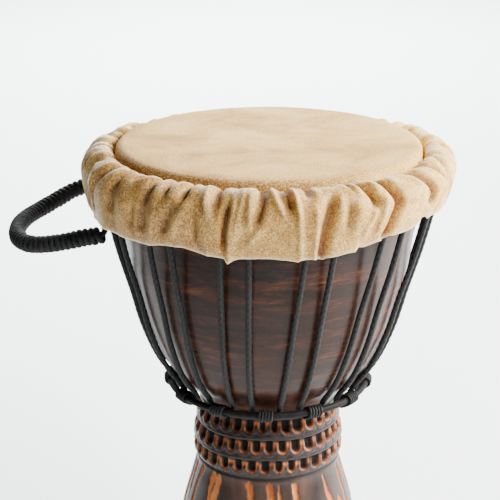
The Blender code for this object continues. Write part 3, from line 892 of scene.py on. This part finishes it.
def strand(pair, side):
    """One strand of a pair, (radius, azimuth, t), from the crown ring down to the bottom ring."""
    top, bottom = STRAND[0][1], STRAND[-1][1]
    points = []
    for radius, t in STRAND:
        down = (top - t) / (top - bottom)
        middle = FIRST_PAIR + 360 / PAIRS * pair + TWIST * down
        half = HALF_TOP + (HALF_BOTTOM - HALF_TOP) * down
        points.append((radius, middle + side * half, t))
    return points


def rod_side(centre, angle, reach=ROD + ROPE + 0.9):
    """The point at an angle on the section of a ring's rod where the rope's middle lies."""
    a = math.radians(angle)
    return centre[0] + reach * math.cos(a), centre[1] + reach * math.sin(a)


def bight(before, after, centre, angles):
    """The turn round a ring's rod from the end of one strand to the start of the next."""
    reach = after[1] - before[1]
    sides = [rod_side(centre, angle) for angle in angles]
    return [(r, before[1] + reach * share, t) for (r, t), share in zip(sides, TURN_SHARES)]


def lacing_path():
    """The lacing's middle line, once round the drum from its far side."""
    route = []
    first = PAIRS // 2 + 1
    for pair in range(first, first + PAIRS):
        rise, fall = strand(pair, -1)[::-1], strand(pair, 1)
        route += rise + bight(rise[-1], fall[0], CROWN_RING, CROWN_TURN) + fall
        route += bight(fall[-1], strand(pair + 1, -1)[-1], BOTTOM_RING, BOTTOM_TURN)
    start = strand(first - 1, 1)[-1]
    route = bight(start, route[0], BOTTOM_RING, BOTTOM_TURN)[3:] + route[:-3]
    return smooth([around(*p) for p in route], 5)


def make_lacing(material):
    """The one rope that laces the crown ring to the bottom ring."""
    thing = braided("lacing_braided_rope", lacing_path(), ROPE * MM, 0.00102, 16, ROPE_BRAID, 0.07)
    dress(thing, "lacing_rope", "drum", "black_rope", material)


CORD = 1.2                   # radius of the cord round the bottom ring
BINDING_TURNS, BINDING_STEPS = 5, 26


def make_binding(number, material):
    """Thin cord bound five times round the bottom ring and the lacing's turn behind it."""
    azimuth = FIRST_PAIR + TWIST + 360 / PAIRS * (number + 0.5)
    ring_at = np.array(BOTTOM_RING)
    rope_at = np.array(rod_side(BOTTOM_RING, BOTTOM_TURN[2]))
    lean = (rope_at - ring_at) / np.linalg.norm(rope_at - ring_at)
    square = np.array([-lean[1], lean[0]])
    steps = BINDING_STEPS * BINDING_TURNS
    path = []
    for i in range(steps + 1):
        a = 2 * math.pi * i / BINDING_STEPS
        near_rope = 0.5 + 0.5 * math.tanh(3.2 * math.cos(a))
        centre = ring_at * (1 - near_rope) + rope_at * near_rope
        reach = (ROD + CORD + 0.15) * (1 - near_rope) + (ROPE + CORD + 0.3) * near_rope
        r, t = centre + reach * (lean * math.cos(a) + square * math.sin(a))
        along = (i / steps - 0.5) * (BINDING_TURNS * 2 * CORD + 0.4)
        path.append(around(r, azimuth + math.degrees(along / r), t))
    thing = braided(f"ring_binding_{number + 1:02d}", np.array(path), CORD * MM, 0.0009, 12, CORD_BRAID,
                    0.06, taper=CORD * MM)
    dress(thing, f"ring_lashing_{number + 1:02d}", "drum", "black_cord", material)


# ---- the handle

HANDLE_STEPS = 12            # between two points of the handle's route
WHIPPING = 2.5               # radius of the cord wound round the handle
WHIPPING_PITCH, WHIPPING_STEPS = 4.75, 30
TIE_LOOP, TIE_CORD = 7.6, 1.15          # loop and cord radii where the handle is tied to the lacing


def handle_frame():
    """Unit vectors out from the drum to the handle's tip, and along its hinge."""
    a = math.radians(HANDLE_AZIMUTH)
    out = np.array([math.sin(a), -math.cos(a), 0])
    return out, np.array([out[1], -out[0], 0])


def handle_path(first=0, last=len(HANDLE_ROUTE) - 1):
    """The core's middle line between two points of its route."""
    out, along = handle_frame()
    centre = np.array([AXIS_X, 0, HEAD_Z])
    points = [centre + (out * d + along * s) * MM + np.array([0, 0, t * MM]) for d, s, t in HANDLE_ROUTE]
    line = smooth(points, HANDLE_STEPS)
    return line[int(first * HANDLE_STEPS):int(last * HANDLE_STEPS) + 1]


def make_handle_core(material):
    """The rope loop under the whipping, with its two bare ends."""
    thing = braided("handle_core_rope", handle_path(), ROPE * MM, 0.001, 16, ROPE_BRAID, 0.06, taper=0.0022)
    dress(thing, "handle_core", "handle", "black_rope", material)


def make_handle_whipping(material):
    """The 5 mm cord wound tight round the core from one end to the other."""
    core = handle_path(WRAP_FROM, WRAP_TO)
    total = lengths(core)[-1]
    turns = int(total / (WHIPPING_PITCH * MM))
    rng = np.random.default_rng(8)
    inset = 0.0024
    at = np.linspace(inset, total - inset, turns * WHIPPING_STEPS)
    line = resample(core, at)
    one, two = frames_along(line)
    turn = np.arange(len(at)) / WHIPPING_STEPS
    phase = 2 * math.pi * turn
    uneven = np.interp(turn, np.arange(turns + 1), rng.uniform(-0.22, 0.22, turns + 1))
    reach = (ROPE + WHIPPING - 0.05 + uneven) * MM
    path = line + reach[:, None] * (np.cos(phase)[:, None] * one + np.sin(phase)[:, None] * two)
    thing = braided("handle_whipping", path, WHIPPING * MM, 0.00125, 14, ROPE_BRAID, 0.05, taper=0.0025)
    dress(thing, "handle_wrap", "handle", "black_rope", material)


def make_handle_tie(name, node, side, material):
    """Cord that ties one end of the handle to a strand of the lacing, in two turns."""
    out, along = handle_frame()
    centre = np.mean(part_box(node), axis=0)
    slant = np.array([0, 0, 1.0]) - along * side
    slant /= np.linalg.norm(slant)
    square = np.cross(slant, out)
    steps = np.linspace(0, 4 * math.pi, 90)
    shift = np.linspace(-0.0012, 0.0012, len(steps))
    path = centre + TIE_LOOP * MM * (np.cos(steps)[:, None] * out + np.sin(steps)[:, None] * square)
    path = path + shift[:, None] * slant
    thing = braided(name, path, TIE_CORD * MM, 0.0009, 10, CORD_BRAID, 0.06, taper=0.0011)
    dress(thing, node, "drum", "black_cord", material)


# ---- stage, light and camera

def make_stage():
    """A plain pale floor and a dim even sky."""
    floor = link(bpy.data.objects.new("floor", bpy.data.meshes.new("floor")))
    bm = bmesh.new()
    bmesh.ops.create_grid(bm, x_segments=1, y_segments=1, size=9.0)
    bm.to_mesh(floor.data)
    bm.free()
    floor.data.materials.append(plain_material("pale_floor", (0.88, 0.91, 0.91), 0.85))
    world = bpy.data.worlds.new("studio")
    world.use_nodes = True
    settings(world.node_tree.nodes["Background"], {"Color": (0.90, 0.95, 1.0, 1), "Strength": 0.15})
    bpy.context.scene.world = world


def light_up(name, kind, place, target, power):
    """A light at a place, turned to its target."""
    light = bpy.data.lights.new(name, kind)
    light.energy = power
    thing = link(bpy.data.objects.new(name, light))
    thing.location = place
    thing.rotation_euler = (Vector(target) - Vector(place)).to_track_quat("-Z", "Y").to_euler()
    return light


def area_light(name, place, target, size, power, colour):
    light = light_up(name, "AREA", place, target, power)
    light.shape = "DISK"
    light.size = size
    light.color = colour


def spot_light(name, place, target, cone, size, power):
    light = light_up(name, "SPOT", place, target, power)
    light.spot_size = math.radians(cone)
    light.spot_blend = 0.6
    light.shadow_soft_size = size


def make_lights():
    """A window at the right, a bright backdrop, and fill on the table and the drum's front."""
    middle = (AXIS_X, 0, 0.35)
    area_light("window", (1.65, 0.3, 1.15), middle, 0.9, 130, (1.0, 0.985, 0.95))
    area_light("backdrop", (0.0, 3.2, 1.3), (0.0, 3.1, 0.0), 3.2, 330, (0.95, 0.99, 1.0))
    area_light("near_floor", (-0.3, 1.1, 1.05), (-0.3, 1.15, 0.0), 1.3, 34, (0.95, 0.99, 1.0))
    area_light("table_right", (1.3, -0.2, 1.0), (1.0, -0.2, 0.0), 0.8, 55, (1.0, 1.0, 1.0))
    spot_light("front", (1.05, -1.1, 1.5), (AXIS_X, 0, 0.40), 26, 0.10, 130)
    spot_light("floor_front", (0.1, -0.8, 1.7), (0.1, -0.44, 0.0), 28, 0.15, 130)


def make_camera():
    """The reference view's camera."""
    camera = bpy.data.cameras.new("camera")
    camera.lens = CAMERA_LENS
    camera.sensor_width = CAMERA_SENSOR
    camera.clip_start = 0.05
    thing = link(bpy.data.objects.new("camera", camera))
    thing.location = (AXIS_X, -CAMERA_BACK, HEAD_Z + CAMERA_UP)
    thing.rotation_euler = (math.radians(90 - CAMERA_PITCH), 0, math.radians(CAMERA_YAW))
    bpy.context.scene.camera = thing


def main():
    """Builds every piece over its CAD node, then the stage and the lights."""
    make_camera()
    wood, steel = wood_material(), steel_material()
    rope = rope_material("black_rope", (0.0035, 0.0034, 0.0036), (0.022, 0.021, 0.0215), 900)
    cord = rope_material("black_cord", (0.003, 0.003, 0.003), (0.018, 0.0175, 0.018), 1200)
    make_shell(wood)
    make_skin(*skin_materials())
    make_ring("flesh_ring_rod", "flesh_ring", FLESH_RING, steel)
    make_ring("crown_ring_rod", "crown_ring", CROWN_RING, steel)
    make_ring("bottom_ring_rod", "bottom_ring", BOTTOM_RING, steel)
    make_lacing(rope)
    for number in range(PAIRS):
        make_binding(number, cord)
    make_handle_core(rope)
    make_handle_whipping(rope)
    make_handle_tie("handle_tie_near", "handle_lashing_near", -1, cord)
    make_handle_tie("handle_tie_far", "handle_lashing_far", 1, cord)
    make_stage()
    make_lights()


main()
